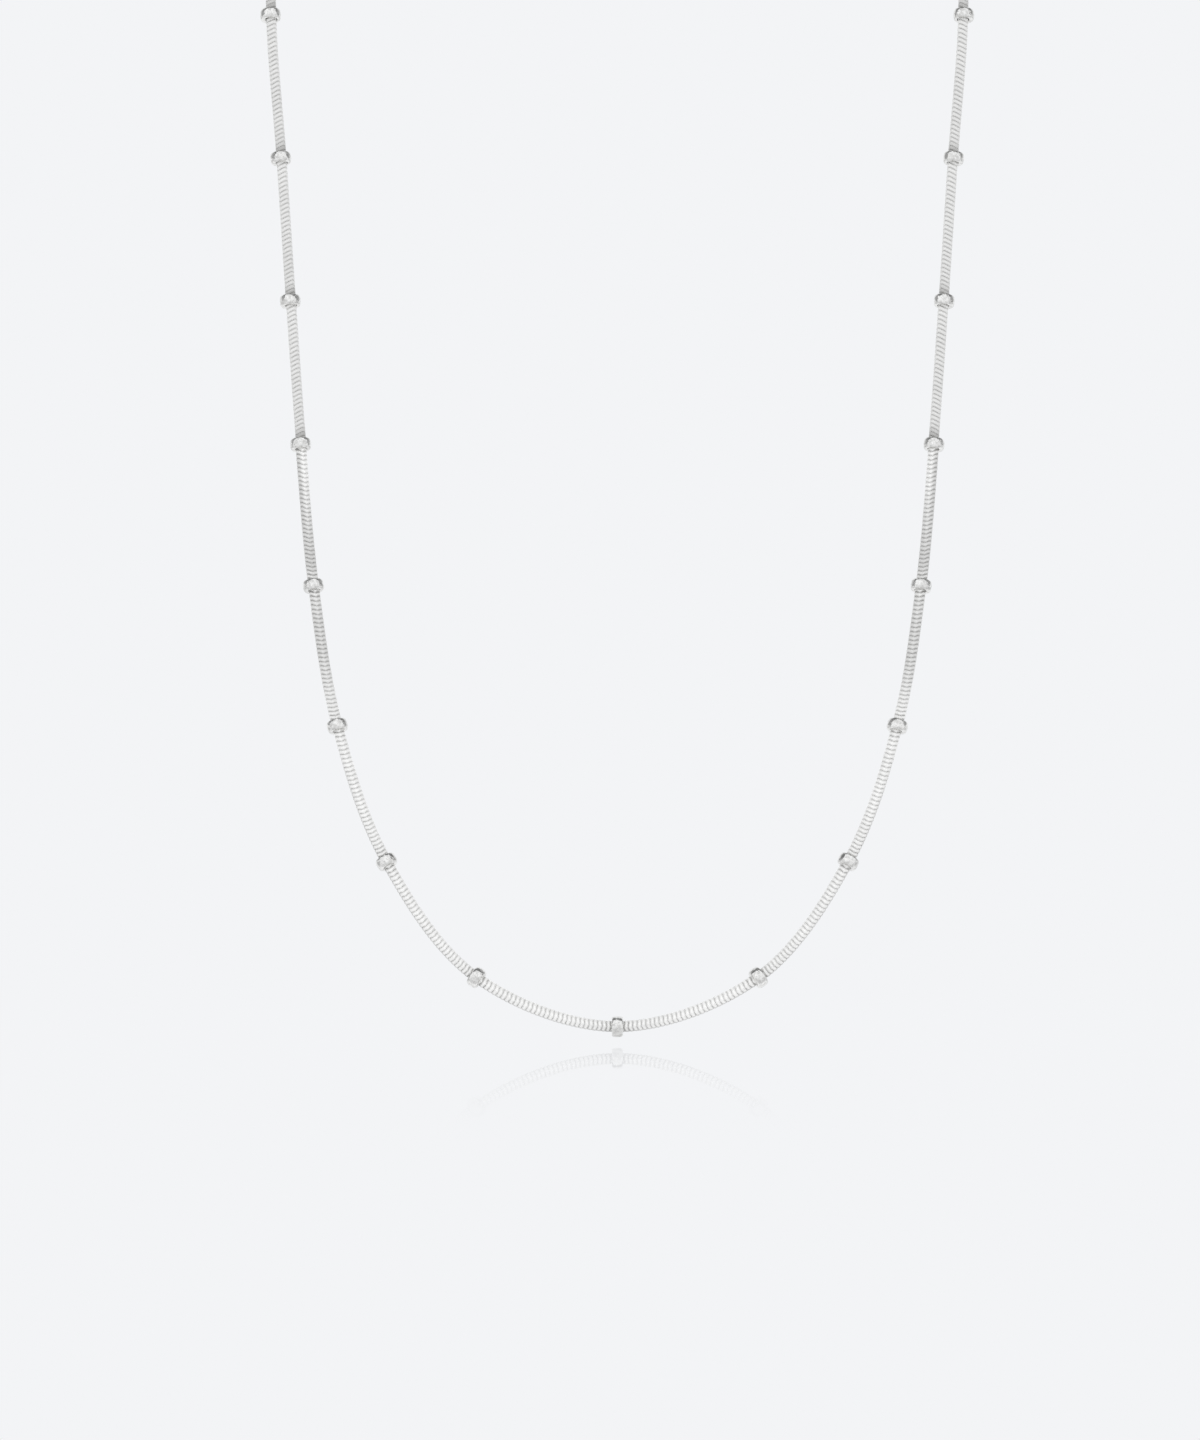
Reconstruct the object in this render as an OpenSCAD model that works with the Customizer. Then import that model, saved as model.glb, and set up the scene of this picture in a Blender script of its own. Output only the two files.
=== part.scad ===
/* [Chain] */
// Width of the square chain across its flats
chain_w = 1.2; // [1:0.05:1.25]
// Length that each rounded corner takes off the chain's flats
corner_cut = 0.2; // [0.05:0.01:0.25]
// Number of the bead, counted up from the lowest, in which the chain turns from edge-on to face-on
turn_bead = 5; // [1:1:11]

/* [Beads] */
// Length of chain from the middle of one bead to the middle of the next
bead_pitch = 18; // [16:1:24]
// Diameter of a bead at its middle
bead_d = 2.55; // [2.3:0.05:3.2]
// Length of a bead along the chain
bead_len = 1.35; // [1:0.05:1.4]
// Width of the flat rim round each end of a bead's hole
bead_rim = 0.13; // [0.05:0.01:0.15]
// Play between the chain's corners and the holes that it goes through
hole_play = 0.06; // [0.04:0.01:0.1]

/* [Clasp] */
// Length of the clasp
clasp_len = 10; // [8:1:12]
// Diameter of the clasp's barrel
clasp_d = 3; // [2.8:0.1:3.6]
// Diameter of the collar at each end of the barrel
collar_d = 2.4; // [2.3:0.1:2.7]
// Length of each collar
collar_len = 1.5; // [1:0.1:2]
// Depth of the socket in each collar that holds an end of the chain
socket_depth = 2.5; // [2:0.1:3]

/* [Hidden] */
// The middles of the beads on the half with positive X, from the lowest bead up the front and round
// the back of the neck to the last bead before the clasp. They are 18 mm apart along the chain.
ROUTE_PITCH = 18;
//  across  depth   height
ROUTE = [
    [ 0.0, -75.0, -167.0],
    [16.7, -73.1, -161.2],
    [27.4, -68.7, -147.5],
    [33.3, -63.4, -131.4],
    [36.2, -58.0, -114.7],
    [37.8, -52.5,  -97.8],
    [39.1, -46.9,  -80.6],
    [40.3, -41.3,  -63.4],
    [41.6, -35.7,  -46.1],
    [41.2, -27.1,  -30.3],
    [36.0, -16.2,  -16.7],
    [24.9,  -6.5,   -6.3],
    [ 9.0,  -0.7,   -0.7],
];
// How many sections the chain has between each bead and the next, the most where it bends the most
SECTIONS_BETWEEN = [3, 2, 2, 1, 0, 0, 0, 0, 1, 1, 1, 1, 0];

side_beads = len(ROUTE) - 1;
route_scale = bead_pitch / ROUTE_PITCH;
// Distance from the chain's axis to its furthest points
corner_r = norm([chain_w / 2, chain_w / 2 - corner_cut]);
hole_r = corner_r + hole_play;
bead_r = bead_d / 2;
bead_end_r = hole_r + bead_rim;
// Radius of the arc that bulges from one end face of a bead to the other
bulge_rise = bead_r - bead_end_r;
bulge_r = (pow(bead_len / 2, 2) + pow(bulge_rise, 2)) / (2 * bulge_rise);
// Length of chain on each side of a bead's middle that runs straight, to pass cleanly through the hole
straight_len = bead_len / 2 + 0.1;
straight_share = straight_len / bead_pitch;
// Space between the chain's end and the floor of its socket
socket_gap = 0.1;
// How much further than the bead a cutting shape reaches
over = 0.5;
barrel_edge = 0.3;

SIDES = ["left", "right"];

function bead_name(side, k) = str("bead_", side, "_", k);
function unit(v) = v / norm(v);
function mirrored(p) = [-p.x, p.y, p.z];

// Route point k, which goes on past both ends of the list as the other half's mirror image
function route_point(k) =
    k < 0 ? mirrored(ROUTE[-k])
    : k > side_beads ? mirrored(ROUTE[2 * side_beads + 1 - k])
    : ROUTE[k];

// The four coefficients of the smooth curve from route point k to the next
function curve(k) =
    let (a = route_point(k - 1), b = route_point(k), c = route_point(k + 1), d = route_point(k + 2))
    [b, (c - a) / 2, a - 2.5 * b + 2 * c - d / 2, (3 * b - a - 3 * c + d) / 2];

// Place on the curve, and its heading there, at u beads up from the lowest one
function place(u) =
    let (k = floor(u), t = u - k, q = curve(k))
    route_scale * (q[0] + t * (q[1] + t * (q[2] + t * q[3])));
function heading(u) =
    let (k = floor(u), t = u - k, q = curve(k))
    unit(q[1] + t * (2 * q[2] + t * 3 * q[3]));

// Turn of the chain about its own axis: an edge faces the front below the turning bead, a flat above
function turn(u) = u < turn_bead ? 45 : 0;

// The square with cut corners, turned by an angle about the chain's axis
function square_section(angle) = [
    for (quarter = [0:3], corner = [
        [chain_w / 2, corner_cut - chain_w / 2],
        [chain_w / 2, chain_w / 2 - corner_cut]
    ])
    let (a = angle + 90 * quarter)
    [corner.x * cos(a) - corner.y * sin(a), corner.x * sin(a) + corner.y * cos(a)]
];

// That section stood square to a heading, with a flat towards the front where the angle is 0
function ring(centre, forward, angle) =
    let (across = unit(cross(forward, [0, 1, 0])), out = cross(forward, across))
    [for (p = square_section(angle)) centre + p.x * across + p.y * out];

// Positions along the half, in beads: both sides of each bead, and the sections between the beads
function stations() = [
    for (k = [0:side_beads]) each concat(
        [k == 0 ? 0 : k - straight_share, k + straight_share],
        [for (i = [1:1:SECTIONS_BETWEEN[k]])
            k + straight_share + (1 - 2 * straight_share) * i / (SECTIONS_BETWEEN[k] + 1)]
    )
];

function chain_rings() = concat(
    [for (u = stations()) ring(place(u), heading(u), turn(u))],
    [for (x = [clasp_len / 2 + straight_len, clasp_len / 2 - socket_depth + socket_gap])
        ring([x, 0, 0], [-1, 0, 0], 0)]
);

// Closed skin over a row of rings, with a flat cap at each end
module skin(rings) {
    sides = len(rings[0]);
    last = len(rings) - 1;
    polyhedron(
        points = [for (r = rings) each r],
        faces = concat(
            [[for (i = [0:sides - 1]) i]],
            [for (j = [0:last - 1], i = [0:sides - 1])
                let (a = j * sides + i, b = j * sides + (i + 1) % sides)
                each [[a, a + sides, b], [b, a + sides, b + sides]]],
            [[for (i = [sides - 1:-1:0]) last * sides + i]]
        ),
        convexity = 10
    );
}

module chain_right() color("silver") skin(chain_rings());

module chain_left() color("silver") mirror([1, 0, 0]) skin(chain_rings());

// Round bead with bulging sides, drilled right through along Z
module bead_shape() {
    rotate_extrude($fn = 48) intersection() {
        translate([bead_r - bulge_r, 0]) circle(r = bulge_r, $fn = 96);
        translate([hole_r, -bead_len / 2]) square([bead_r, bead_len]);
    }
}

// Bead number k up from the lowest, threaded on the chain
module bead(side, k) {
    forward = heading(k);
    color("gainsboro")
        mirror([side == "left" ? 1 : 0, 0, 0])
        translate(place(k))
        rotate([0, acos(forward.z), atan2(forward.y, forward.x)])
        bead_shape();
}

// Plain barrel with a collar and a blind socket at each end, and bevelled edges
module clasp() {
    barrel_len = clasp_len - 2 * collar_len;
    color("silver") rotate([0, 90, 0]) difference() {
        union() {
            cylinder(d = collar_d, h = clasp_len, center = true, $fn = 48);
            rotate_extrude($fn = 48) polygon([
                [0, -barrel_len / 2],
                [clasp_d / 2 - barrel_edge, -barrel_len / 2],
                [clasp_d / 2, barrel_edge - barrel_len / 2],
                [clasp_d / 2, barrel_len / 2 - barrel_edge],
                [clasp_d / 2 - barrel_edge, barrel_len / 2],
                [0, barrel_len / 2]
            ]);
        }
        for (end = [0, 180])
            rotate([end, 0, 0])
            translate([0, 0, clasp_len / 2 - socket_depth])
            cylinder(r = hole_r, h = socket_depth + over, $fn = 48);
    }
}

chain_left();
chain_right();
clasp();
bead("right", 0);  // bead_bottom
for (side = SIDES, k = [1:side_beads])
    bead(side, k);
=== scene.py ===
"""Beaded square snake chain necklace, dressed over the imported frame.

Two runs of saddle-shaped plates, twenty-five rondelle beads and a barrel clasp hang on one closed
loop. All shapes are worked out with numpy in metres, in the frame of the CAD model.
"""
import logging
from dataclasses import dataclass
from enum import Enum
from typing import Any

import bpy
import numpy as np
from numpy.typing import NDArray
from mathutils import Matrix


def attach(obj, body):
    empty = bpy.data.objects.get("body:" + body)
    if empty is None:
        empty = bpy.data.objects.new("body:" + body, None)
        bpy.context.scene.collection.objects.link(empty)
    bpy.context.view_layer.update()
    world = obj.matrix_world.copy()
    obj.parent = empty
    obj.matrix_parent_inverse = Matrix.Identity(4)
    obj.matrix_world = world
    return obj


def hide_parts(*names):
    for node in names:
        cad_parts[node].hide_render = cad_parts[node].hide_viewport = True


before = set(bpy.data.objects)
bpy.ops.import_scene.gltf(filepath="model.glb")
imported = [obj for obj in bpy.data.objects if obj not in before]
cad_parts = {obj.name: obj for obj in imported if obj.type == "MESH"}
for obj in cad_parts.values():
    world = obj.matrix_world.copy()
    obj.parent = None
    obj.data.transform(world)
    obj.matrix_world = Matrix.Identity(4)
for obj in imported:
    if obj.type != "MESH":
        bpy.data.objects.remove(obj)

Floats = NDArray[np.float64]
Ints = NDArray[np.int64]
Colour = tuple[float, float, float]
Place = tuple[float, float, float]
Pair = tuple[float, float]
Four = tuple[float, float, float, float]

LOG = logging.getLogger("necklace")
MM = 0.001
BODY = "root"
MIRROR_X = np.array([-1.0, 1.0, 1.0])


# Numbers that several pieces share

# Middles of beads 0 (the lowest) to 12 (next to the clasp) on the right half, in metres.
BEAD_MIDDLES = np.array(
    [
        [0.0000, -0.0750, -0.1670],
        [0.0167, -0.0731, -0.1612],
        [0.0274, -0.0687, -0.1475],
        [0.0333, -0.0634, -0.1314],
        [0.0362, -0.0580, -0.1147],
        [0.0378, -0.0525, -0.0978],
        [0.0391, -0.0469, -0.0806],
        [0.0403, -0.0413, -0.0634],
        [0.0416, -0.0357, -0.0461],
        [0.0412, -0.0271, -0.0303],
        [0.0360, -0.0162, -0.0167],
        [0.0249, -0.0065, -0.0063],
        [0.0090, -0.0007, -0.0007],
    ]
)
LAST_BEAD = len(BEAD_MIDDLES) - 1
# The bead in which the chain turns from edge-on below to face-on above
TURN_BEAD = 5

# A plate's outline has four points to a quarter: the middle of the face, and the start, middle and
# end of the corner. These pick out the middles of its faces and its corners.
FACE_MIDDLES = np.tile([1.0, 0.0, 0.0, 0.0], 4)[:, None]
CORNERS = np.tile([0.0, 0.0, 1.0, 0.0], 4)[:, None]


class Side(Enum):
    """The two halves of the loop as the viewer sees them, with the sign of their X."""

    LEFT = -1
    RIGHT = 1

    @property
    def word(self) -> str:
        """The side's name in piece and node names."""
        return self.name.lower()


class Cut(Enum):
    """How a turned piece's outer surface is worked, as flutes around it."""

    PLAIN = 0
    FLUTED = 1


def linear(red: int, green: int, blue: int) -> Colour:
    """Turns display values from 0 to 255 into linear light.

    Args:
        red: Display red.
        green: Display green.
        blue: Display blue.

    Returns:
        The colour in linear light, by the sRGB curve.
    """
    share = np.array([red, green, blue]) / 255
    curve = np.where(share > 0.04045, ((share + 0.055) / 1.055) ** 2.4, share / 12.92)
    return tuple(float(value) for value in curve)


def unit(vectors: Floats) -> Floats:
    """Vectors divided by their lengths along the last axis."""
    return vectors / np.linalg.norm(vectors, axis=-1, keepdims=True)


# The line on which everything hangs


@dataclass(frozen=True)
class Stations:
    """Places along the chain with their three directions.

    Across points to the inside of the loop, out to the viewer on the front stretches, and forward
    runs up the chain to the clasp. Across x out = forward.
    """

    place: Floats
    across: Floats
    out: Floats
    forward: Floats

    def carry(self, x: Floats, y: Floats, z: Floats) -> Floats:
        """Carries local points out to the loop: place + x across + y out + z forward.

        Args:
            x: Offsets along across, one leading axis per station.
            y: Offsets along out.
            z: Offsets along forward.

        Returns:
            Points with one more axis of three.
        """
        spread = (slice(None),) + (None,) * (x.ndim - 1)
        moved = x[..., None] * self.across[spread]
        moved = moved + y[..., None] * self.out[spread]
        moved = moved + z[..., None] * self.forward[spread]
        return self.place[spread] + moved


@dataclass(frozen=True)
class CentreLine:
    """Centre line of the right half, from the lowest bead to its end in the clasp's socket.

    An even Catmull-Rom spline runs through the bead middles, an easy cubic leads from the last
    bead to the clasp's mouth, and a straight ends in the socket.
    """

    socket_mouth: float = 5.775 * MM
    socket_end: float = 2.6 * MM
    samples: int = 400

    def spline(self) -> tuple[Floats, Floats]:
        """Works out the spline from bead 0 to the last bead.

        Returns:
            Places and headings of evenly spread spline parameters. On each interval the place is
            b + t(q1 + t(q2 + t q3)), with the four q's from the two beads before and after.
        """
        middles = BEAD_MIDDLES
        ring = np.vstack([middles[1] * MIRROR_X, middles, middles[-1] * MIRROR_X])
        u = np.linspace(0, LAST_BEAD, LAST_BEAD * self.samples + 1)
        k = np.minimum(u.astype(int), LAST_BEAD - 1)
        t = (u - k)[:, None]
        a, b, c, d = (ring[k + step] for step in range(4))
        q1 = (c - a) / 2
        q2 = a - 2.5 * b + 2 * c - d / 2
        q3 = (3 * b - a - 3 * c + d) / 2
        place = b + t * (q1 + t * (q2 + t * q3))
        heading = q1 + t * (2 * q2 + 3 * t * q3)
        return place, unit(heading)

    def lead_in(self, start: Floats, heading: Floats) -> tuple[Floats, Floats]:
        """Works out the way from the last bead into the socket.

        Args:
            start: Middle of the last bead.
            heading: Heading of the chain there.

        Returns:
            Places and headings of a Hermite cubic to the mouth and a straight to the end.
        """
        mouth = np.array([self.socket_mouth, 0, 0])
        inward = np.array([-1.0, 0, 0])
        reach = np.linalg.norm(mouth - start)
        t = np.linspace(0, 1, self.samples)[1:, None]
        place = (
            (1 + 2 * t) * (1 - t) ** 2 * start
            + t * (1 - t) ** 2 * reach * heading
            + t**2 * (3 - 2 * t) * mouth
            + t**2 * (t - 1) * reach * inward
        )
        steps = np.diff(np.vstack([start, place]), axis=0)
        straight = np.linspace(self.socket_mouth, self.socket_end, self.samples)[1:]
        run = np.stack([straight, 0 * straight, 0 * straight], axis=-1)
        places = np.vstack([place, run])
        headings = np.vstack([unit(steps), np.broadcast_to(inward, run.shape)])
        return places, headings

    def measured(self) -> tuple[Floats, Floats, Floats, Floats]:
        """Joins both stretches and measures them.

        Returns:
            Arc lengths, places, headings, and the arc lengths of the thirteen beads.
        """
        place, heading = self.spline()
        more_places, more_headings = self.lead_in(place[-1], heading[-1])
        places = np.vstack([place, more_places])
        headings = np.vstack([heading, more_headings])
        steps = np.linalg.norm(np.diff(places, axis=0), axis=1)
        arc = np.concatenate([[0], np.cumsum(steps)])
        beads = arc[np.arange(LAST_BEAD + 1) * self.samples]
        return arc, places, headings, beads

    def stations(self, at: Floats) -> Stations:
        """Finds the places and directions at given arc lengths.

        Args:
            at: Arc lengths from the lowest bead's middle.

        Returns:
            The stations there. Across is the unit of forward x Y, out is forward x across.
        """
        arc, places, headings, _ = self.measured()
        place = np.stack([np.interp(at, arc, column) for column in places.T], axis=-1)
        forward = unit(np.stack([np.interp(at, arc, column) for column in headings.T], axis=-1))
        across = unit(np.cross(forward, [0.0, 1.0, 0.0]))
        return Stations(place, across, np.cross(forward, across), forward)


# Meshes


@dataclass(frozen=True)
class Shell:
    """A closed surface of quads.

    It has a UV for each face corner, and for each point a tone, the tarnish of its region with some
    painted light and shade on the chain, and grime and shade, a dark film in seams and bores that
    stands partly for grime and partly for painted shade of these hollows. Both run from 0 to 1.
    """

    points: Floats
    faces: Ints
    uv: Floats
    tone: Floats
    grime_and_shade: Floats

    @staticmethod
    def rings(points: Floats, tone: Floats, grime_and_shade: Floats) -> "Shell":
        """Closes rings that run around and across, each ring a shell of its own.

        Args:
            points: Rings x around x across x 3, where around turns from across to out, and
                across runs forward on the outside and back on the inside.
            tone: Values that spread over rings x around x across.
            grime_and_shade: The same for the dark film of grime and painted shade.

        Returns:
            The shell. U runs around and V across, both from 0 to 1.
        """
        rings, around, across, _ = points.shape
        ring, m, k = np.indices((rings, around, across))
        next_m = (m + 1) % around
        next_k = (k + 1) % across
        corners = ((m, k), (next_m, k), (next_m, next_k), (m, next_k))
        faces = np.stack([(ring * around + i) * across + j for i, j in corners], axis=-1)
        u = np.stack([m, m + 1, m + 1, m], axis=-1) / around
        v = np.stack([k, k, k + 1, k + 1], axis=-1) / across
        return Shell(
            points.reshape(-1, 3),
            faces.reshape(-1, 4),
            np.stack([u, v], axis=-1).reshape(-1, 2),
            np.broadcast_to(tone, points.shape[:3]).ravel(),
            np.broadcast_to(grime_and_shade, points.shape[:3]).ravel(),
        )

    def part(self, number: int, count: int) -> "Shell":
        """Takes one of several equal parts that the shell is made of.

        Args:
            number: Which part, counted from 0.
            count: How many parts there are.

        Returns:
            The part as a shell of its own.
        """
        points = self.points.reshape(count, -1, 3)[number]
        faces = self.faces.reshape(count, -1, 4)[number] - number * len(points)
        uv = self.uv.reshape(count, -1, 2)[number]
        tone = self.tone.reshape(count, -1)[number]
        grime_and_shade = self.grime_and_shade.reshape(count, -1)[number]
        return Shell(points, faces, uv, tone, grime_and_shade)

    def mirrored(self) -> "Shell":
        """The same shell on the other half, with its faces turned to point outward again."""
        uv = self.uv.reshape(-1, 4, 2)[:, ::-1].reshape(-1, 2)
        return Shell(self.points * MIRROR_X, self.faces[:, ::-1], uv, self.tone, self.grime_and_shade)

    def on(self, side: Side) -> "Shell":
        """The shell on the given half: as built on the right, mirrored on the left."""
        return self if side is Side.RIGHT else self.mirrored()

    def piece(self, name: str, node: str, finish: "Silver") -> bpy.types.Object:
        """Puts the shell into the scene in place of a CAD node.

        Args:
            name: Name of the new piece.
            node: CAD node that it stands for.
            finish: Its finish.

        Returns:
            The piece, smooth shaded, riding on the one body.
        """
        mesh = bpy.data.meshes.new(name)
        mesh.from_pydata(self.points, [], self.faces)
        layer = mesh.uv_layers.new(name="Wrap")
        layer.uv.foreach_set("vector", self.uv.astype(np.float32).ravel())
        for label, values in (("tone", self.tone), ("grime_and_shade", self.grime_and_shade)):
            attribute = mesh.attributes.new(label, "FLOAT", "POINT")
            attribute.data.foreach_set("value", values.astype(np.float32))
        mesh.shade_smooth()
        mesh.materials.append(finish.material())
        made = bpy.data.objects.new(name, mesh)
        bpy.context.scene.collection.objects.link(made)
        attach(made, BODY)
        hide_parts(node)
        LOG.info("%s: %d points, %d faces, for %s", name, len(self.points), len(self.faces), node)
        return made


# Shader maths


class Signal:
    """One value socket of a shader tree, on which Python's operators add Math nodes."""

    def __init__(self, tree: "Tree", socket: bpy.types.NodeSocket) -> None:
        """Holds a socket and the tree it is in."""
        self.tree = tree
        self.socket = socket

    def math(self, operation: str, *others: Any, swapped: bool = False) -> "Signal":
        """Adds one Math node.

        Args:
            operation: Blender's name of the operation.
            others: The other operands, signals or numbers.
            swapped: Puts this signal last, for the reflected operators.

        Returns:
            The node's result.
        """
        operands = (*others, self) if swapped else (self, *others)
        made = self.tree.node("Math", {"operation": operation}, dict(enumerate(operands)))
        return Signal(self.tree, made.outputs[0])

    def __add__(self, other: Any) -> "Signal":
        """Signal + other."""
        return self.math("ADD", other)

    def __radd__(self, other: Any) -> "Signal":
        """Other + signal."""
        return self.math("ADD", other, swapped=True)

    def __sub__(self, other: Any) -> "Signal":
        """Signal - other."""
        return self.math("SUBTRACT", other)

    def __rsub__(self, other: Any) -> "Signal":
        """Other - signal."""
        return self.math("SUBTRACT", other, swapped=True)

    def __mul__(self, other: Any) -> "Signal":
        """Signal * other."""
        return self.math("MULTIPLY", other)

    def __rmul__(self, other: Any) -> "Signal":
        """Other * signal."""
        return self.math("MULTIPLY", other, swapped=True)

    def __abs__(self) -> "Signal":
        """Size of the signal without its sign."""
        return self.math("ABSOLUTE")

    def ramp(self, low: float, high: float, start: float = 0.0, end: float = 1.0) -> "Signal":
        """Maps the signal smoothly.

        Args:
            low: Signal value where the ramp starts.
            high: Signal value where it ends.
            start: Result at low and below.
            end: Result at high and above.

        Returns:
            The smoothed result.
        """
        settings = {"interpolation_type": "SMOOTHSTEP"}
        inputs = {"Value": self, "From Min": low, "From Max": high, "To Min": start, "To Max": end}
        made = self.tree.node("MapRange", settings, inputs)
        return Signal(self.tree, made.outputs[0])


class Tree:
    """A node tree of a material or of the world, emptied and ready for nodes."""

    def __init__(self, owner: bpy.types.Material | bpy.types.World) -> None:
        """Empties the owner's tree."""
        owner.use_nodes = True
        self.nodes = owner.node_tree.nodes
        self.links = owner.node_tree.links
        self.nodes.clear()

    def node(
        self,
        kind: str,
        settings: dict[str, Any] | None = None,
        inputs: dict[str | int, Any] | None = None,
    ) -> bpy.types.Node:
        """Adds one node: its settings first, then its sockets.

        Args:
            kind: Node type without its ShaderNode prefix.
            settings: Properties by name.
            inputs: Values, sockets or signals by socket name or number.

        Returns:
            The node.
        """
        made = self.nodes.new("ShaderNode" + kind)
        for name, value in (settings or {}).items():
            setattr(made, name, value)
        for key, value in (inputs or {}).items():
            target = made.inputs[key]
            if isinstance(value, Signal):
                value = value.socket
            if isinstance(value, bpy.types.NodeSocket):
                self.links.new(value, target)
            else:
                target.default_value = value
        return made

    def signal(
        self,
        kind: str,
        output: str | int = 0,
        settings: dict[str, Any] | None = None,
        inputs: dict[str | int, Any] | None = None,
    ) -> Signal:
        """Adds one node and gives one of its value sockets.

        Args:
            kind: Node type without its ShaderNode prefix.
            output: Name or number of the output.
            settings: Properties by name.
            inputs: Values, sockets or signals by socket name or number.

        Returns:
            The output as a signal.
        """
        return Signal(self, self.node(kind, settings, inputs).outputs[output])

    def noise(self, where: Any, scale: float, detail: float = 2.0, rough: float = 0.5) -> Signal:
        """A noise pattern.

        Args:
            where: Vector socket that it is read at.
            scale: Cells per unit of that vector.
            detail: Octaves.
            rough: Weight of the finer octaves.

        Returns:
            The pattern's factor, near 0.5 on average.
        """
        inputs = {"Vector": where, "Scale": scale, "Detail": detail, "Roughness": rough}
        return self.signal("TexNoise", "Fac", {"noise_dimensions": "3D"}, inputs)

    def blend(self, share: Any, first: Any, second: Any) -> bpy.types.NodeSocket:
        """Mixes two colours.

        Args:
            share: Part of the second colour.
            first: First colour or colour socket.
            second: Second colour or colour socket.

        Returns:
            The mixed colour.
        """
        inputs = {"Factor": share, 6: first, 7: second}
        return self.node("Mix", {"data_type": "RGBA"}, inputs).outputs[2]


# Finishes


@dataclass(frozen=True)
class Silver:
    """Polished silver with blotches of thin tarnish, shallow dents, fine scratches, grime and painted
    shade.

    Scales are in cells per metre and heights in metres. The film's colour stands for tarnish and
    grime, for painted shade in seams and bores, and for the painted light and shade in the chain's
    tone. Metal is less than 1 where folded sheet scatters much of the light that falls on it.
    Edges are the values of a pattern between which its effect grows.
    """

    name: str
    slot: str
    bright: Colour
    film: Colour
    metal: float
    smooth: float
    dull: float
    tarnish: float
    blotches: float
    blotch: float
    dents: float
    dent_height: float
    scratches: float
    scratch_height: float
    blotch_edge: Pair = (0.42, 0.62)
    haze: float = 2600
    haze_edge: Pair = (0.3, 0.75)
    grime_dullness: float = 0.15

    def material(self) -> bpy.types.Material:
        """Builds the material, or gives the one that is already there.

        Returns:
            A Principled material. Its colour goes from bright to film with the blotches and the
            tone, and again with the grime and painted shade of seams and bores. The haze and that
            film make it duller, and its bump is the dents plus the scratches.
        """
        found = bpy.data.materials.get(self.name)
        if found:
            return found
        made = bpy.data.materials.new(self.name)
        tree = Tree(made)
        coordinates = tree.node("TexCoord").outputs["Object"]
        tone = tree.signal("Attribute", "Fac", {"attribute_name": "tone"})
        grime_and_shade = tree.signal("Attribute", "Fac", {"attribute_name": "grime_and_shade"})
        cloud = tree.noise(coordinates, self.blotches, 3.0)
        haze = tree.noise(coordinates, self.haze, 2.0)
        dent = tree.noise(coordinates, self.dents, 2.0)
        hair = tree.noise(coordinates, self.scratches, 5.0, 0.7)

        dust = cloud.ramp(*self.blotch_edge, 0.0, self.blotch) + tone * self.tarnish
        metal = tree.blend(dust, (*self.bright, 1), (*self.film, 1))
        # Darkens towards the film with grime and painted shade in seams and bores.
        colour = tree.blend(grime_and_shade, metal, (*self.film, 1))
        polish = haze.ramp(*self.haze_edge, self.smooth, self.dull) + grime_and_shade * self.grime_dullness
        height = dent * (self.dent_height / MM) + hair * (self.scratch_height / MM)
        bump_inputs = {"Height": height, "Strength": 1.0, "Distance": MM}
        bump = tree.node("Bump", None, bump_inputs)
        shader = tree.node(
            "BsdfPrincipled",
            None,
            {
                "Base Color": colour,
                "Metallic": self.metal,
                "Roughness": polish,
                "Normal": bump.outputs["Normal"],
            },
        )
        tree.node("OutputMaterial", None, {"Surface": shader.outputs[0]})
        return made


CHAIN_SILVER = Silver(
    name="chain silver",
    slot="chain_silver",
    bright=(1.0, 0.993, 0.972),
    film=(0.22, 0.216, 0.204),
    metal=0.30,
    smooth=0.42,
    dull=0.56,
    tarnish=0.36,
    blotches=420,
    blotch=0.05,
    dents=1500,
    dent_height=0.006 * MM,
    scratches=9000,
    scratch_height=0.0008 * MM,
)
BEAD_SILVER = Silver(
    name="bead silver",
    slot="bead_silver",
    bright=(0.93, 0.924, 0.903),
    film=(0.30, 0.294, 0.278),
    metal=1.0,
    smooth=0.07,
    dull=0.15,
    tarnish=0.06,
    blotches=2600,
    blotch=0.30,
    dents=2300,
    dent_height=0.09 * MM,
    scratches=7000,
    scratch_height=0.0015 * MM,
)
CLASP_SILVER = Silver(
    name="clasp silver",
    slot="clasp_silver",
    bright=(0.96, 0.955, 0.945),
    film=(0.16, 0.155, 0.15),
    metal=1.0,
    smooth=0.08,
    dull=0.18,
    tarnish=0.08,
    blotches=420,
    blotch=0.03,
    dents=1400,
    dent_height=0.012 * MM,
    scratches=6000,
    scratch_height=0.0015 * MM,
)


# Chain


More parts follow.
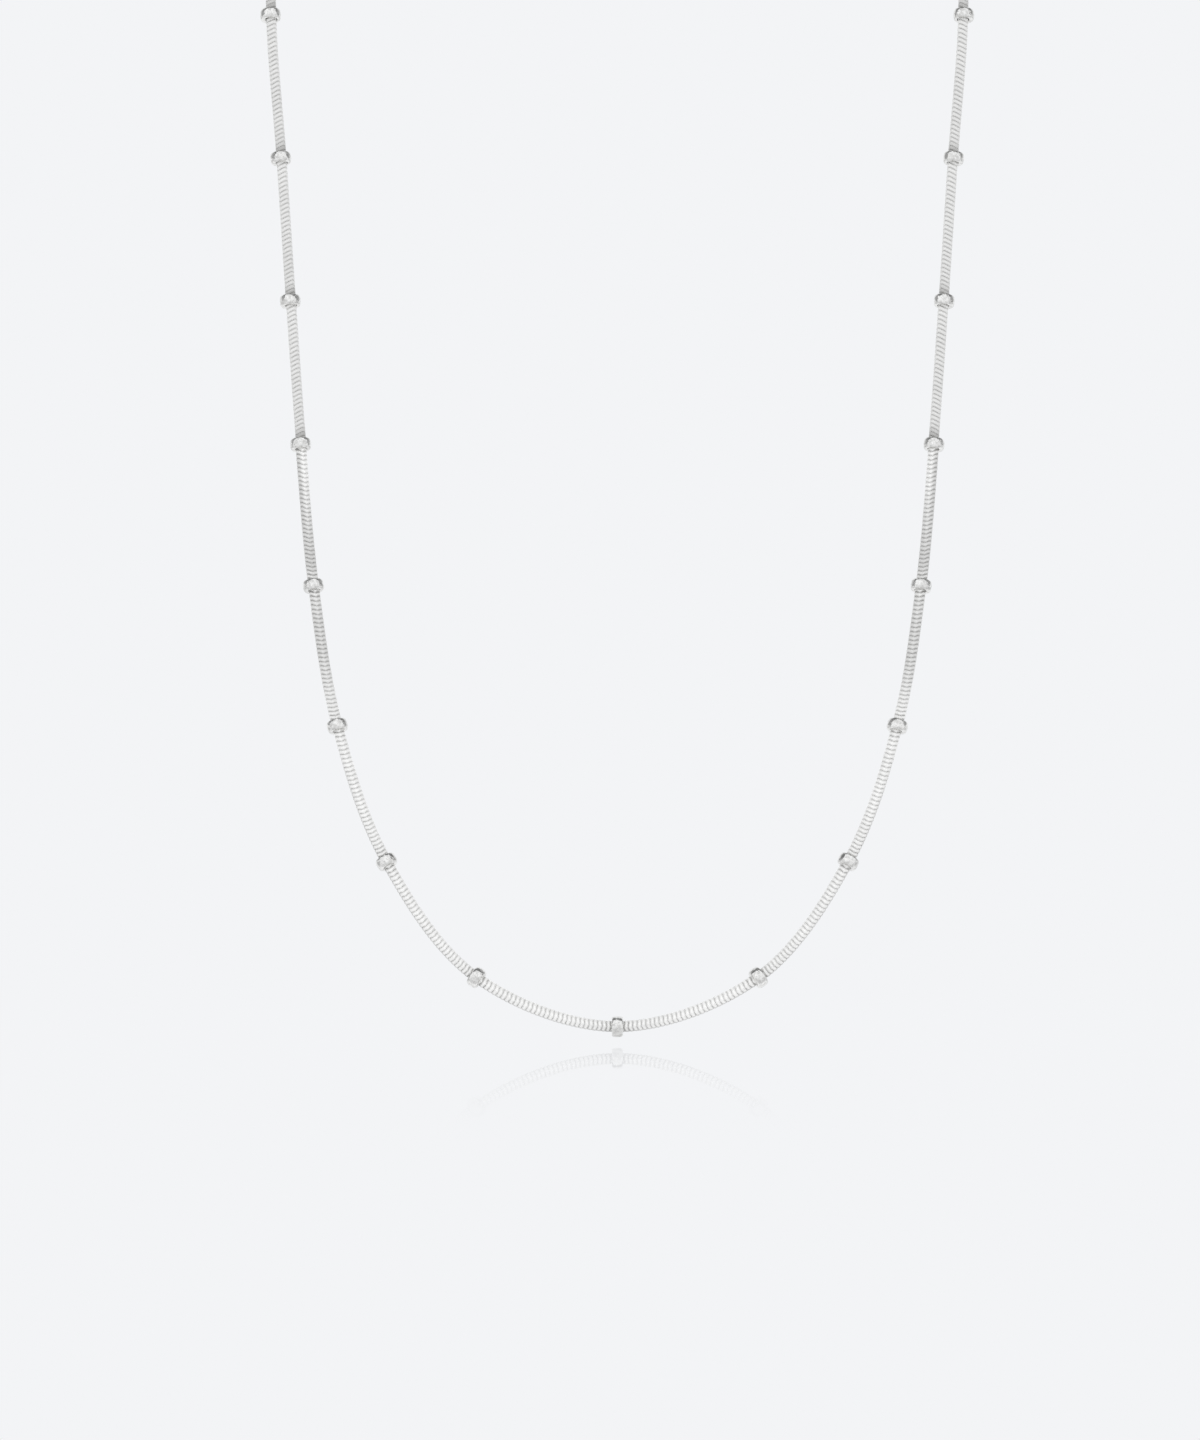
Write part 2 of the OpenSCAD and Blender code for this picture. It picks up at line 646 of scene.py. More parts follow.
@dataclass(frozen=True)
class Patina:
    """Tarnish and film on the chain's plates, with painted light and shade among them: a painted
    highlight beside the beads, painted shade above them and on their ridges, a lighter inner and
    darker outer side just under the turning bead, and a painted dark line along the outer edge of
    the lowest stretches. The seams' film is partly tarnish and partly painted shade.

    A plate's number is that of the bead below it plus its share of the way to the next bead. Marks
    are such numbers, or shares in the case of the highlight beside the beads and the ridge's shade,
    and the tones, films and shares of the same name are the values there.
    """

    marks: Four = (3.1, 3.5, 4.9, 5.1)
    tones: Four = (0.12, 0.82, 0.82, 0.66)
    # Seam films: tarnish and painted shade of the seams.
    films: Four = (0.30, 0.46, 0.46, 0.24)
    slope: float = 0.35
    scatter: float = 0.12
    seed: int = 17
    # Painted highlight beside each bead below the turning bead: the plates lighter, their seams darker.
    bead_light_marks: Four = (0.05, 0.13, 0.87, 0.95)
    bead_light_shares: Four = (0.7, 0.0, 0.0, 0.9)
    bead_light_film: float = 0.3
    # Painted light and shade just under the turning bead: the inner side lighter, the outer darker.
    side_light_marks: Pair = (4.35, 4.75)
    side_light_shares: Pair = (0.0, 0.95)
    side_light_slope: float = 1.4
    side_light_middle: float = 0.85
    side_shade_gain: float = 0.30
    side_light_gain: float = 1.25
    side_light_film: float = 0.3
    # Painted shade: the ridge corners just above each bead below the turning bead are darker.
    ridge_shade_marks: Pair = (0.1, 0.4)
    ridge_shade_tones: Pair = (0.35, 0.0)
    corner_film: float = 0.4
    # Painted shade: a dark line along the outer, lower edge of the lowest stretches.
    edge_shade_marks: Pair = (2.5, 2.9)
    edge_shade_films: Pair = (0.75, 0.0)
    edge_shade_start: float = 0.88
    edge_shade_width: float = 0.15
    # Painted shade on the plates just above each bead, from bead 4 up.
    rubbed_from: float = 4.0
    bead_shade_share: float = 0.11
    bead_shade_film: float = 0.80

    def bead_light(self, number: Floats) -> Floats:
        """Works out the painted highlight from the beads below the turning bead on the plates beside
        them.

        Args:
            number: Number of each plate.

        Returns:
            Share of the tarnish that the painted highlight takes away, straight between the marks.
        """
        near = np.interp(number % 1, self.bead_light_marks, self.bead_light_shares)
        return np.where(number < TURN_BEAD, near, 0.0)

    def side_light(self, number: Floats, side: Floats) -> tuple[Floats, Floats]:
        """Works out the painted side light just under the turning bead.

        Args:
            number: Number of each plate.
            side: Place of each point from -1 at the loop's outer edge to 1 at its inner one.

        Returns:
            The share of painted side light on each plate, and the part of it that reaches a point:
            that share times side_light_slope times side plus side_light_middle, held between 0 and 1.
        """
        side_lit = np.interp(number, self.side_light_marks, self.side_light_shares)
        side_lit = np.where(number < TURN_BEAD, side_lit, 0.0)[:, None, None]
        return side_lit, side_lit * np.clip(self.side_light_slope * side + self.side_light_middle, 0, 1)

    def tone(self, number: Floats, side_lit: Floats, inner: Floats) -> Floats:
        """Works out the tone: tarnish with painted light and shade.

        Args:
            number: Number of each plate.
            side_lit: Share of painted side light on each plate.
            inner: Part of it that reaches each point, most on the inner side.

        Returns:
            The tones at the marks less the painted highlight beside the beads, times a slope that
            rises towards the lower bead and a little chance. The painted side light raises it a little
            on the whole plate and lowers it on the inner side. The corners just above a bead have the
            ridge's painted shade on top.
        """
        share = number % 1
        chance = np.random.default_rng(self.seed).random(len(number))
        level = np.interp(number, self.marks, self.tones) * (1 - self.bead_light(number))
        tone = level * (1 + self.slope * (0.5 - share) + self.scatter * (chance - 0.5))
        # Painted shade on the ridge corners just above each bead.
        ridge_shade = np.interp(share, self.ridge_shade_marks, self.ridge_shade_tones)
        ridge_shade = np.where(number < TURN_BEAD, ridge_shade, 0.0)[:, None, None] * CORNERS
        return tone[:, None, None] * (1 + self.side_shade_gain * side_lit - self.side_light_gain * inner) + ridge_shade

    def film(self, number: Floats, side: Floats, inner: Floats) -> Floats:
        """Works out the film, which is the shells' grime and painted shade.

        Args:
            number: Number of each plate.
            side: Place of each point from -1 at the loop's outer edge to 1 at its inner one.
            inner: Painted side light that reaches each point.

        Returns:
            The most of three films. One lies in the seams and fades to the middle of the plate, tarnish
            and painted shade of the seams, with less on the corners and where the painted side light
            falls and more beside a bead. One is painted shade, a line along the outer edge of the
            lowest stretches. One is painted shade on the plates just above a bead, from plate number
            rubbed_from up.
        """
        seam = np.interp(number, self.marks, self.films) + self.bead_light_film * self.bead_light(number)
        around = 1 - (1 - self.corner_film) * CORNERS
        across = np.array([1.0, 1.0, 0.0, 1.0, 1.0])
        # Seam film, tarnish and painted shade, less where the painted side light falls.
        seams = seam[:, None, None] * around * across * (1 - self.side_light_film * inner)
        # Painted shade along the outer edge of the lowest stretches.
        edge = np.interp(number, self.edge_shade_marks, self.edge_shade_films)[:, None, None]
        edge = edge * np.clip((-side - self.edge_shade_start) / self.edge_shade_width, 0, 1)
        # Painted shade of the bead on the plates just above it.
        rubbed = self.bead_shade_film * np.clip(1 - number % 1 / self.bead_shade_share, 0, 1)
        rubbed = rubbed * np.clip(number - self.rubbed_from, 0, 1)
        return np.maximum(np.maximum(seams, edge), rubbed[:, None, None])

    def values(self, number: Floats, side: Floats) -> tuple[Floats, Floats]:
        """Tone and film of each point, for its plate's number and its side of the chain."""
        side_lit, inner = self.side_light(number, side)
        return self.tone(number, side_lit, inner), self.film(number, side, inner)


@dataclass(frozen=True)
class SnakeChain:
    """One half of the square snake chain: saddle-shaped plates set one behind the other.

    Each plate is a ring with a square outline and round corners, drawn in a little at both ends.
    Two opposite corners rise by the saddle's height and the other two sink, so that the seams run
    askew over the faces and meet in chevrons at the corners. Sizes that end in top hold above the
    turning bead. The others of their kind hold below it, where the middles of the faces rise too:
    saddles and leans at the marks, turn_start at twist_start and turn_end at the turning bead.
    """

    line: CentreLine
    patina: Patina = Patina()
    half_width: float = 0.615 * MM
    corner: float = 0.40 * MM
    wall: float = 0.08 * MM
    shoulder: float = 0.04 * MM
    shoulder_reach: float = 0.475
    gap: float = 0.005 * MM
    marks: Four = (0.5, 1.5, 3.5, 4.5)
    saddle_top: float = 0.29 * MM
    saddles: Four = (0.075 * MM, 0.138 * MM, 0.147 * MM, 0.18 * MM)
    lean_top: float = 0.16
    leans: Four = (0.02, 0.056, 0.14, 0.207)
    scallop: float = 0.05 * MM
    girth_bottom: float = 0.95
    aside_top: float = 0.08 * MM
    aside_bottom: float = 0.02 * MM
    twist_start: float = 2.0
    turn_start: float = np.radians(37)
    turn_end: float = np.radians(57)
    plates_between_beads: int = 33
    plates_at_clasp: int = 12
    crowding: float = 0.056
    advance: float = 0.27 * MM

    def plate_places(self) -> tuple[Floats, Floats, Floats]:
        """Spreads the plates along the half.

        Returns:
            Arc lengths of the plates' middles, the room that each has, and their numbers. Between
            two beads the share p of the way lies at p + c(p p - p), so that the plates stand
            closer towards the lower bead, and all lie further up by the advance.
        """
        arc, _, _, beads = self.line.measured()
        share = np.arange(self.plates_between_beads) / self.plates_between_beads
        way = share + self.crowding * (share**2 - share)
        along = self.advance + beads[:-1, None] + np.diff(beads)[:, None] * way
        numbers = np.arange(LAST_BEAD)[:, None] + share
        last = np.linspace(self.advance + beads[-1], arc[-1], self.plates_at_clasp + 1)
        last_numbers = LAST_BEAD + np.linspace(0, 0.5, self.plates_at_clasp + 1)
        ends = np.concatenate([along.ravel(), last])
        end_numbers = np.concatenate([numbers.ravel(), last_numbers])
        middles = (ends[1:] + ends[:-1]) / 2
        return middles, np.diff(ends), (end_numbers[1:] + end_numbers[:-1]) / 2

    def outline(self) -> tuple[Floats, Floats]:
        """Draws the plate's outline.

        Returns:
            Points and outward normals of a square with round corners, four to a quarter: the
            middle of the face at half_width, and the corner's centre plus its radius in the
            directions of the arc's start, middle and end.
        """
        straight = self.half_width - self.corner
        quarter = np.arange(4)[:, None] * np.pi / 2
        centre = np.pi / 4 + quarter
        corner_angle = quarter + np.radians([4, 45, 86])
        x = np.sqrt(2) * straight * np.cos(centre) + self.corner * np.cos(corner_angle)
        y = np.sqrt(2) * straight * np.sin(centre) + self.corner * np.sin(corner_angle)
        x = np.hstack([self.half_width * np.cos(quarter), x]).ravel()
        y = np.hstack([self.half_width * np.sin(quarter), y]).ravel()
        angle = np.hstack([quarter, corner_angle]).ravel()
        return np.stack([x, y], axis=-1), np.stack([np.cos(angle), np.sin(angle)], axis=-1)

    def rise(self, points: Floats) -> Floats:
        """Rise of the saddle, 1 at two opposite corners and -1 at the others.

        Args:
            points: Outline points.

        Returns:
            Sign(xy) x min(|x|, |y|), over that least side at the corners.
        """
        x = points[..., 0]
        y = points[..., 1]
        least = np.minimum(abs(x), abs(y))
        return np.sign(x * y) * least / least.max()

    def by_run(self, number: Floats, top: float, bottom: Any) -> Floats:
        """Spreads one value over the plates.

        Args:
            number: Number of each plate.
            top: Value above the turning bead.
            bottom: Value below it, or one value for each of the marks.

        Returns:
            A value for each plate, straight between the marks, shaped for rings of points.
        """
        lower = np.interp(number, self.marks, np.broadcast_to(bottom, len(self.marks)))
        return np.where(number < TURN_BEAD, lower, top)[:, None, None]

    def turns(self, number: Floats) -> Floats:
        """Turn of each plate about the chain.

        Args:
            number: Number of each plate.

        Returns:
            None above the turning bead. Below it a sunk corner comes to the front, a little to
            the inside just under that bead and a little to the outside at the bottom.
        """
        ends = [self.turn_start, self.turn_end]
        turned = np.interp(number, [self.twist_start, TURN_BEAD], ends)
        return np.where(number < TURN_BEAD, -turned, 0.0)

    def fit(self, number: Floats) -> tuple[Floats, Floats, Floats]:
        """Tells how the chain lies in the mouth of a bead.

        Args:
            number: Numbers just below or just above whole ones.

        Returns:
            The chain's turn there, its girth and its shift aside.
        """
        below = number < TURN_BEAD
        girth = np.where(below, self.girth_bottom, 1.0)
        return self.turns(number), girth, np.where(below, self.aside_bottom, self.aside_top)

    def build(self) -> Shell:
        """Builds all plates of the right half.

        Returns:
            One ring per plate: the outline less an inset along its normals, times the girth and
            turned. It runs from end to end over the outside and back along the bore. A point lies
            forward by its share of the length, plus the saddle times its rise, plus the scallop
            on the faces' middles, less the lean times its place across.
        """
        middle, room, number = self.plate_places()
        stations = self.line.stations(middle)
        outline, normals = self.outline()
        long = np.array([-0.5, -self.shoulder_reach, 0.0, self.shoulder_reach, 0.5])
        inset = np.array([self.wall, self.shoulder, 0.0, self.shoulder, self.wall])
        flat = outline[:, None, :] - inset[None, :, None] * normals[:, None, :]
        girth = self.by_run(number, 1.0, self.girth_bottom)
        turn = self.turns(number)[:, None, None]
        x = girth * (flat[None, ..., 0] * np.cos(turn) - flat[None, ..., 1] * np.sin(turn))
        y = girth * (flat[None, ..., 0] * np.sin(turn) + flat[None, ..., 1] * np.cos(turn))
        z = self.rise(outline)[:, None] * self.by_run(number, self.saddle_top, self.saddles)
        z = z + FACE_MIDDLES * self.by_run(number, 0.0, self.scallop)
        z = z + (room - self.gap)[:, None, None] * long
        z = z - self.by_run(number, self.lean_top, self.leans) * x
        x = x + self.by_run(number, self.aside_top, self.aside_bottom)
        values = self.patina.values(number, x / self.half_width)
        return Shell.rings(stations.carry(x, y, z), *values)

    def dress(self) -> None:
        """Adds both halves of the chain to the scene."""
        shell = self.build()
        for side in Side:
            shell.on(side).piece(f"plates_{side.word}", f"chain_{side.word}", CHAIN_SILVER)


# Beads


@dataclass(frozen=True)
class Beads:
    """The twenty-five rondelle beads, each turned with a round belly, eased lips and a bore.

    The bore is round in the profile and then drawn in to the chain's flats.
    """

    chain: SnakeChain
    length: float = 1.35 * MM
    belly: float = 1.24 * MM
    hole: float = 0.735 * MM
    hole_flat: float = 0.645 * MM
    lip: float = 0.19 * MM
    fullness: float = 0.76
    # Darkening of the lips and the bore: grime and painted shade of the hollow.
    lip_grime_and_shade: float = 0.2
    bore_grime_and_shade: float = 0.5
    lowest_tone: float = 0.2
    highest_tone: float = 0.8
    belly_steps: int = 25
    lip_steps: int = 5
    around: int = 64

    def profile(self) -> tuple[Floats, Floats, Floats]:
        """Draws the bead's closed profile.

        Returns:
            Radii, places along the axis and grime with painted shade: forward over the belly, a
            superellipse whose cosine and sine are raised to the fullness, then round the front lip,
            back through the bore and round the back lip.
        """
        half = self.length / 2
        start = self.hole + self.lip
        swing = np.linspace(-np.pi / 2, np.pi / 2, self.belly_steps)
        belly_r = start + (self.belly - start) * abs(np.cos(swing)) ** self.fullness
        belly_z = half * np.sign(swing) * abs(np.sin(swing)) ** self.fullness
        round_off = np.linspace(0, np.pi / 2, self.lip_steps)[1:]
        lip_r = start - self.lip * np.sin(round_off)
        lip_z = half - self.lip + self.lip * np.cos(round_off)
        r = np.concatenate([belly_r, lip_r, [self.hole], lip_r[::-1]])
        z = np.concatenate([belly_z, lip_z, [0.0], -lip_z[::-1]])
        lip_grime_and_shade = np.linspace(0.0, self.lip_grime_and_shade, len(lip_r))
        grime_and_shade = np.concatenate([0 * belly_r, lip_grime_and_shade, [self.bore_grime_and_shade], lip_grime_and_shade[::-1]])
        return r, z, grime_and_shade

    def fitted(self, r: Floats, z: Floats, count: int) -> tuple[Floats, Floats]:
        """Turns the profile about the axis and draws its bore in to the chain.

        Args:
            r: Radii of the profile.
            z: Places along the axis. Where they are below 0, the chain below the bead counts.
            count: Number of beads.

        Returns:
            Offsets across and out. The bore's radius goes from hole at the chain's corners to
            hole_flat at its flats, by the square of cos 2(angle - turn), times the girth, and the
            bore moves aside with the chain. Over the lip both grow from nothing at the belly.
        """
        angle = np.arange(self.around)[:, None] * 2 * np.pi / self.around
        number = np.arange(count)[:, None, None] + np.where(z < 0, -0.01, 0.01)
        turn, girth, aside = self.chain.fit(number)
        mouth = np.clip((self.hole + self.lip - r) / self.lip, 0, 1)
        flat = np.cos(2 * (angle - turn)) ** 2
        tight = girth * (self.hole - (self.hole - self.hole_flat) * flat)
        radius = r + mouth * (tight - self.hole)
        return radius * np.cos(angle) + mouth * aside, radius * np.sin(angle)

    def build(self) -> Shell:
        """Builds the beads of the right half, the lowest among them.

        Returns:
            Thirteen rings, each the profile turned about the chain.
        """
        *_, places = self.chain.line.measured()
        stations = self.chain.line.stations(places)
        r, z, grime_and_shade = self.profile()
        x, y = self.fitted(r, z, len(places))
        tone = np.linspace(self.lowest_tone, self.highest_tone, len(places))[:, None, None]
        points = stations.carry(x, y, np.broadcast_to(z, x.shape))
        return Shell.rings(points, tone, grime_and_shade)

    def dress(self) -> None:
        """Adds every bead to the scene in place of its CAD node."""
        row = self.build()
        row.part(0, LAST_BEAD + 1).piece("rondelle_lowest", "bead_bottom", BEAD_SILVER)
        for side in Side:
            for number in range(1, LAST_BEAD + 1):
                bead = row.part(number, LAST_BEAD + 1).on(side)
                name = f"rondelle_{side.word}_{number}"
                bead.piece(name, f"bead_{side.word}_{number}", BEAD_SILVER)


# Clasp


@dataclass(frozen=True)
class BarrelClasp:
    """Barrel clasp at the nape: a fluted barrel in two halves, with a collar at either end."""

    length: float = 10 * MM
    radius: float = 1.5 * MM
    collar: float = 1.2 * MM
    collar_length: float = 1.5 * MM
    hole: float = 0.81 * MM
    socket_depth: float = 2.5 * MM
    ease: float = 0.12 * MM
    flutes: int = 30
    flute_depth: float = 0.07 * MM
    steps_per_flute: int = 6
    joint_depth: float = 0.10 * MM
    joint_half: float = 0.10 * MM

    def half_profile(self) -> list[tuple[float, float, Cut]]:
        """Draws the right half's profile from the socket's floor out to the joint.

        Returns:
            Place along the axis, radius and cut of each ring.
        """
        end = self.length / 2
        shoulder = end - self.collar_length
        floor = end - self.socket_depth
        ease = self.ease
        near = 0.3 * ease
        plain = Cut.PLAIN
        fluted = Cut.FLUTED
        return [
            (floor, 0.35 * self.hole, plain),
            (floor, 0.92 * self.hole, plain),
            (floor + near, self.hole, plain),
            (end - ease, self.hole, plain),
            (end - near, self.hole + near, plain),
            (end, self.hole + ease, plain),
            (end, self.collar - ease, plain),
            (end - near, self.collar - near, plain),
            (end - ease, self.collar, plain),
            (end - 0.45 * self.collar_length, self.collar, plain),
            (end - 0.50 * self.collar_length, self.collar - 0.5 * ease, plain),
            (end - 0.55 * self.collar_length, self.collar, plain),
            (shoulder + ease, self.collar, plain),
            (shoulder + near, self.collar + near, plain),
            (shoulder, self.collar + ease, plain),
            (shoulder - near, self.radius - near, plain),
            (shoulder - ease, self.radius, plain),
            (shoulder - 3 * ease, self.radius, plain),
            (shoulder - 5 * ease, self.radius, fluted),
            (shoulder - 12 * ease, self.radius, fluted),
            (shoulder - 20 * ease, self.radius, fluted),
            (shoulder - 22 * ease, self.radius, plain),
            (2.2 * self.joint_half, self.radius, plain),
            (self.joint_half, self.radius - 0.3 * self.joint_depth, plain),
        ]

    def build(self) -> Shell:
        """Builds the clasp.

        Returns:
            The profile and its mirror image turned about the X axis, with both poles closed by
            rings of no width at the sockets' floors. Flutes lower the radius by their depth
            times a raised cosine of the angle.
        """
        half = self.half_profile()
        floor = self.length / 2 - self.socket_depth
        x_half = np.array([floor] + [row[0] for row in half])
        r_half = np.array([0.0] + [row[1] for row in half])
        cut_half = np.array([0] + [row[2].value for row in half])
        x = np.concatenate([x_half, [0.0], -x_half[::-1]])
        r = np.concatenate([r_half, [self.radius - self.joint_depth], r_half[::-1]])
        cut = np.concatenate([cut_half, [0], cut_half[::-1]])
        around = self.flutes * self.steps_per_flute
        angle = np.arange(around)[:, None] * 2 * np.pi / around
        wave = 0.5 - 0.5 * np.cos(self.flutes * angle)
        radius = r[None, :] - self.flute_depth * cut[None, :] * wave
        along = np.broadcast_to(x, radius.shape)
        turned = np.stack([along, radius * np.sin(angle), radius * np.cos(angle)], axis=-1)
        # Grime and painted shade: darker in the sockets, at the joint and in the valleys of the flutes.
        depth = np.clip((self.hole + self.ease - r) / self.ease, 0, 1)
        joint = np.exp(-((x / (1.5 * self.joint_half)) ** 2))
        grime_and_shade = np.clip(depth + joint, 0, 1)[None, :] + 0.6 * cut[None, :] * wave
        return self.close_poles(turned, grime_and_shade)

    @staticmethod
    def close_poles(turned: Floats, grime_and_shade: Floats) -> Shell:
        """Joins a turned grid whose first and last columns are single points.

        Args:
            turned: Around x along x 3.
            grime_and_shade: Grime and painted shade, around x along.

        Returns:
            A closed shell: quads between the inner columns and fans of triangles at both poles.
        """
        around, along, _ = turned.shape
        inner = turned[:, 1:-1].reshape(-1, 3)
        rows = along - 2
        m, k = np.indices((around, rows - 1))
        next_m = (m + 1) % around
        corners = ((m, k), (m, k + 1), (next_m, k + 1), (next_m, k))
        quads = np.stack([i * rows + j for i, j in corners], axis=-1).reshape(-1, 4)
        spoke = np.arange(around)
        following = (spoke + 1) % around
        first = np.full(around, len(inner))
        last = first + 1
        fan_first = np.stack([first, spoke * rows, following * rows, first], axis=-1)
        fan_last = np.stack([last, following * rows + rows - 1, spoke * rows + rows - 1, last], axis=-1)
        u = np.stack([m, m, m + 1, m + 1], axis=-1) / around
        v = np.stack([k, k + 1, k + 1, k], axis=-1) / (rows - 1)
        uv = np.stack([u, v], axis=-1).reshape(-1, 4, 2)
        fan_uv = np.zeros((2 * around, 4, 2))
        points = np.vstack([inner, turned[0, 0], turned[0, -1]])
        faces = np.vstack([quads, fan_first, fan_last])
        film = np.concatenate([grime_and_shade[:, 1:-1].ravel(), [1.0, 1.0]])
        uv_all = np.vstack([uv, fan_uv]).reshape(-1, 2)
        return Shell(points, faces, uv_all, np.full(len(points), 0.5), film)

    def dress(self) -> None:
        """Adds the clasp to the scene."""
        self.build().piece("barrel_clasp", "clasp", CLASP_SILVER)


# Studio


@dataclass(frozen=True)
class Studio:
    """Pale sweep, soft light from all round and the long lens that looks straight on.

    Levels are brightnesses of the surroundings as the silver sees them. An edge of the same name is
    the pair of values of the direction's height or depth, from -1 to 1, between which it changes.
    """

    tone: Colour = linear(243, 244, 246)
    floor_height: float = -168.88 * MM
    floor_half: float = 6.0
    camera_place: Place = (-2.061 * MM, -3075 * MM, -130.67 * MM)
    sensor: float = 36.0
    view_distance: float = 3000 * MM
    view_width: float = 142.15 * MM
    furthest: float = 50.0
    front_level: float = 0.95
    box_level: float = 1.15
    box_edge: Pair = (0.2, 0.4)
    low_level: float = 0.86
    low_edge: Pair = (-0.6, -0.1)
    back_level: float = 0.98
    back_edge: Pair = (-0.1, 0.1)
    under_level: float = 1.05
    side_level: float = 0.42
    side_edge: Pair = (-0.7, 0.1)
    top_level: float = 0.22
    top_edge: Pair = (0.35, 0.75)
    ring_front: Pair = (-0.18, -0.02)
    ring_back: Pair = (0.42, 0.75)
    ring_tilt: float = 0.08
    tilt_edge: Pair = (0.2, 0.8)
    patch_level: float = 0.72
    patch_scale: float = 4.5
    patch_edge: Pair = (0.50, 0.62)
    horizon_edge: Pair = (0.05, 0.12)
    fill_below: float = 1.08
    fill_above: float = 1.32
    fill_edge: Pair = (-1.0, 0.6)
    shade_level: float = 0.80
    shade_near: float = 1.2 * MM
    shade_far: float = 3.4 * MM
    mirror_share: float = 0.34
    mirror_near: float = 0.10
    mirror_far: float = 0.75
    mirror_index: float = 1.45
    mirror_roughness: float = 0.008

    def level(self, tree: Tree, where: bpy.types.NodeSocket, y: Signal, z: Signal) -> Signal:
        """Works out the brightness that the silver sees in a direction.

        Args:
            tree: The world's tree.
            where: The direction.
            y: Its depth, positive behind the necklace.
            z: Its height.

        Returns:
            In front the front level, brighter in the box overhead, lower towards the ground and in
            the patches of a noise. Behind, the back level. Over both goes a darker ring, round the
            sides, the top and the bottom, and over everything a bright band at the horizon.
        """
        front = z.ramp(*self.box_edge, self.front_level, self.box_level)
        front = front * z.ramp(*self.low_edge, self.low_level, 1.0)
        patches = tree.noise(where, self.patch_scale)
        front = front * patches.ramp(*self.patch_edge, 1.0, self.patch_level)
        back = y.ramp(*self.back_edge)
        around = back * self.back_level + (1 - back) * front
        rim = z.ramp(*self.side_edge, self.under_level, self.side_level)
        rim = rim + z.ramp(*self.top_edge) * (self.top_level - self.side_level)
        tilted = y + z.ramp(*self.tilt_edge) * self.ring_tilt
        ring = tilted.ramp(*self.ring_front) * (1 - tilted.ramp(*self.ring_back))
        level = around * (1 - ring) + rim * ring
        horizon = abs(z).ramp(*self.horizon_edge)
        return level * horizon + (1 - horizon)

    def light(self) -> None:
        """Lights the scene from the world.

        The camera sees the plain sweep, and dull light an even fill that is brighter from above.
        Reflections meet the shaped surroundings, so that silver shows its edges.
        """
        world = bpy.data.worlds.new("soft studio")
        bpy.context.scene.world = world
        tree = Tree(world)
        where = tree.node("TexCoord").outputs["Generated"]
        split = tree.node("SeparateXYZ", None, {"Vector": where}).outputs
        y = Signal(tree, split["Y"])
        z = Signal(tree, split["Z"])
        colour = (*self.tone, 1)
        reflected = {"Color": colour, "Strength": self.level(tree, where, y, z)}
        shaped = tree.node("Background", None, reflected)
        camera = tree.signal("LightPath", "Is Camera Ray")
        dull = tree.signal("LightPath", "Is Diffuse Ray")
        fill = z.ramp(*self.fill_edge, self.fill_below, self.fill_above)
        plain = tree.node("Background", None, {"Color": colour, "Strength": camera + dull * fill})
        choice = {0: camera + dull, 1: shaped.outputs[0], 2: plain.outputs[0]}
        both = tree.node("MixShader", None, choice)
        tree.node("OutputWorld", None, {"Surface": both.outputs[0]})
        LOG.info("world: pale sweep and soft light")

    def floor_material(self) -> bpy.types.Material:
        """Makes the floor's material.

        Returns:
            To the camera it glows like the sweep, with a mirror image whose share is the Fresnel
            term times mirror_share, fading from mirror_near to mirror_far. To all other light it
            is clear, but for a darker spot under the lowest bead.
        """
        made = bpy.data.materials.new("pale floor")
        tree = Tree(made)
        colour = (*self.tone, 1)
        where = tree.node("TexCoord").outputs["Object"]
        away = tree.signal("VectorMath", "Value", {"operation": "LENGTH"}, {0: where})
        near = away.ramp(self.mirror_near, self.mirror_far, 1.0, 0.0)
        grazing = tree.signal("Fresnel", 0, None, {"IOR": self.mirror_index})
        glow = tree.node("Emission", None, {"Color": colour, "Strength": 1.0})
        mirror_inputs = {"Color": (1, 1, 1, 1), "Roughness": self.mirror_roughness}
        mirror = tree.node("BsdfGlossy", None, mirror_inputs)
        share = near * grazing * self.mirror_share
        top = tree.node("MixShader", None, {0: share, 1: glow.outputs[0], 2: mirror.outputs[0]})
        lowest = (*BEAD_MIDDLES[0][:2], self.floor_height)
        apart = tree.signal("VectorMath", "Value", {"operation": "DISTANCE"}, {0: where, 1: lowest})
        beside = apart.ramp(self.shade_near, self.shade_far)
        shade = tree.node("Emission", None, {"Color": colour, "Strength": self.shade_level})
        clear = tree.node("BsdfTransparent")
        under = tree.node("MixShader", None, {0: beside, 1: shade.outputs[0], 2: clear.outputs[0]})
        camera = tree.signal("LightPath", "Is Camera Ray")
        shown = tree.node("MixShader", None, {0: camera, 1: under.outputs[0], 2: top.outputs[0]})
        tree.node("OutputMaterial", None, {"Surface": shown.outputs[0]})
        return made

    def floor(self) -> None:
        """Lays the floor, a square just under the lowest bead."""
        half = self.floor_half
        corners = np.array([[-half, -half], [half, -half], [half, half], [-half, half]])
        height = np.full((4, 1), self.floor_height)
        mesh = bpy.data.meshes.new("pale_floor")
        mesh.from_pydata(np.hstack([corners, height]), [], [(0, 1, 2, 3)])
        mesh.materials.append(self.floor_material())
        made = bpy.data.objects.new("pale_floor", mesh)
        bpy.context.scene.collection.objects.link(made)
        LOG.info("floor: %.1f m square", 2 * half)

    def camera(self) -> None:
        """Sets up the long lens, level and looking along +Y."""
        data = bpy.data.cameras.new("long_lens")
        data.sensor_fit = "HORIZONTAL"
        data.sensor_width = self.sensor
        data.lens = self.sensor * self.view_distance / self.view_width
        data.clip_end = self.furthest
        made = bpy.data.objects.new("long_lens", data)
        made.location = self.camera_place
        made.rotation_euler = (np.pi / 2, 0.0, 0.0)
        bpy.context.scene.collection.objects.link(made)
        bpy.context.scene.camera = made
        bpy.context.scene.view_settings.view_transform = "Standard"
        LOG.info("camera: %.0f mm lens at %s", data.lens, self.camera_place)

    def set_up(self) -> None:
        """Makes the camera, the light and the floor."""
        self.camera()
        self.light()
        self.floor()


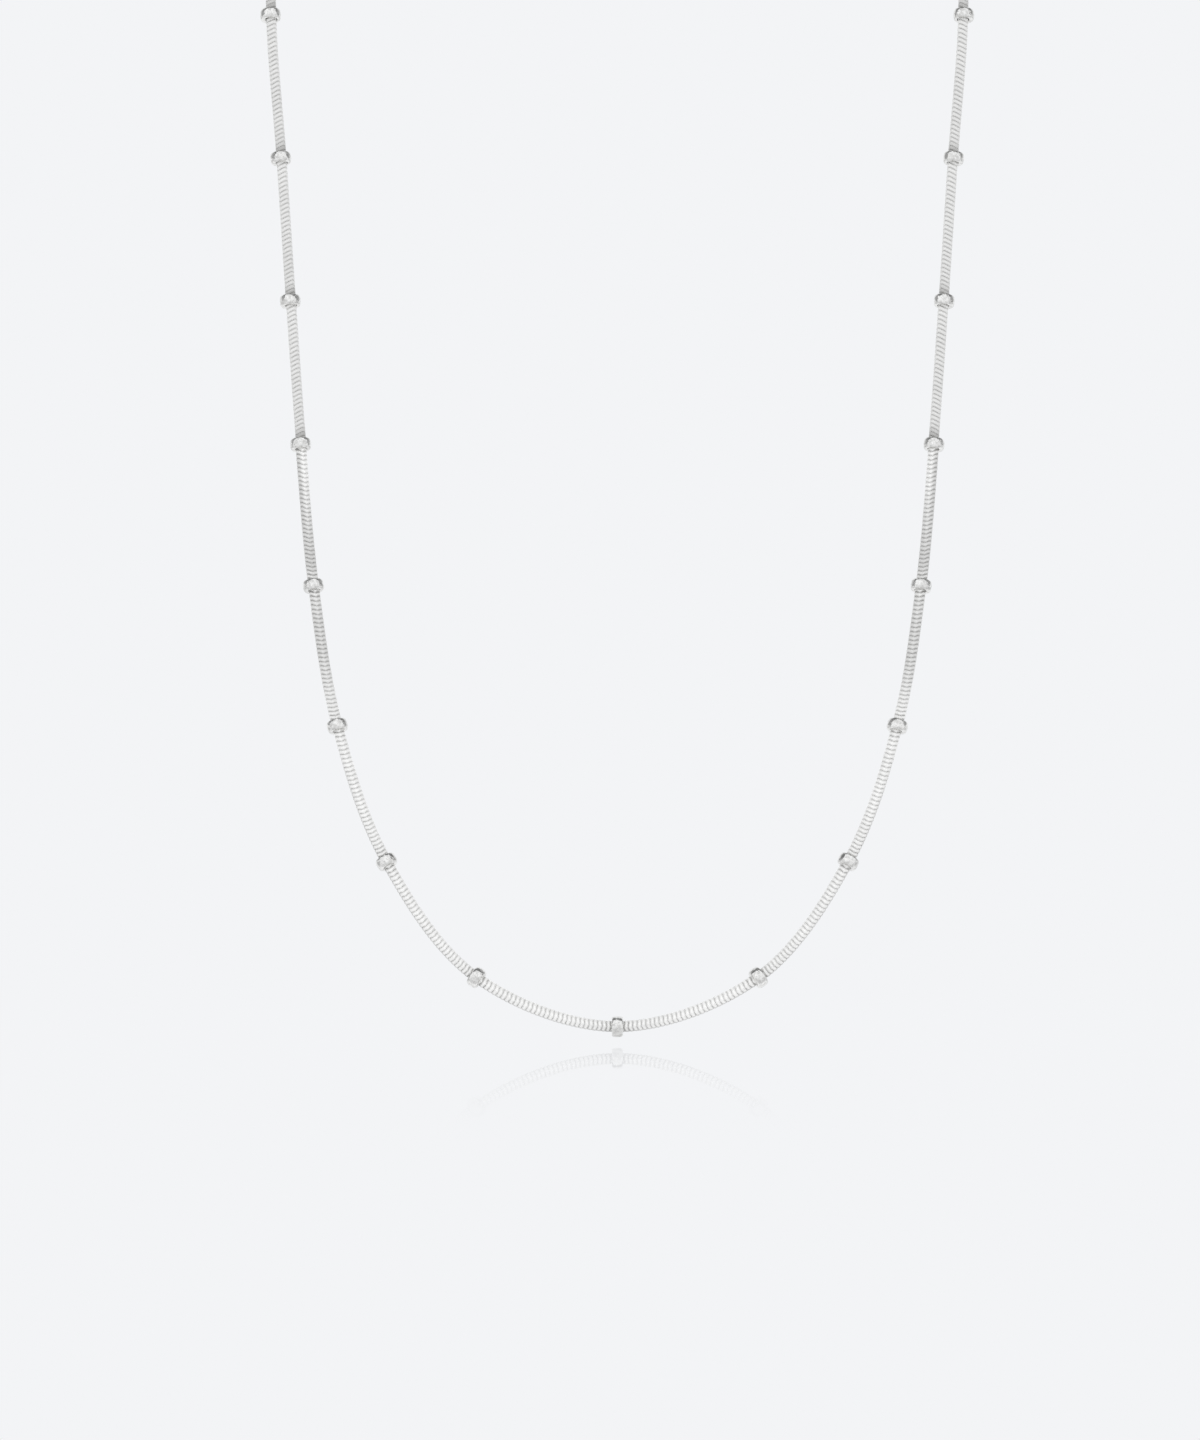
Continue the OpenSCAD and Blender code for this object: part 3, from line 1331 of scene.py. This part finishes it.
def main() -> None:
    logging.basicConfig(level=logging.INFO, format="%(name)s %(message)s")
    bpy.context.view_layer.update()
    Studio().set_up()
    chain = SnakeChain(CentreLine())
    chain.dress()
    Beads(chain).dress()
    BarrelClasp().dress()


if __name__ == "__main__":
    main()
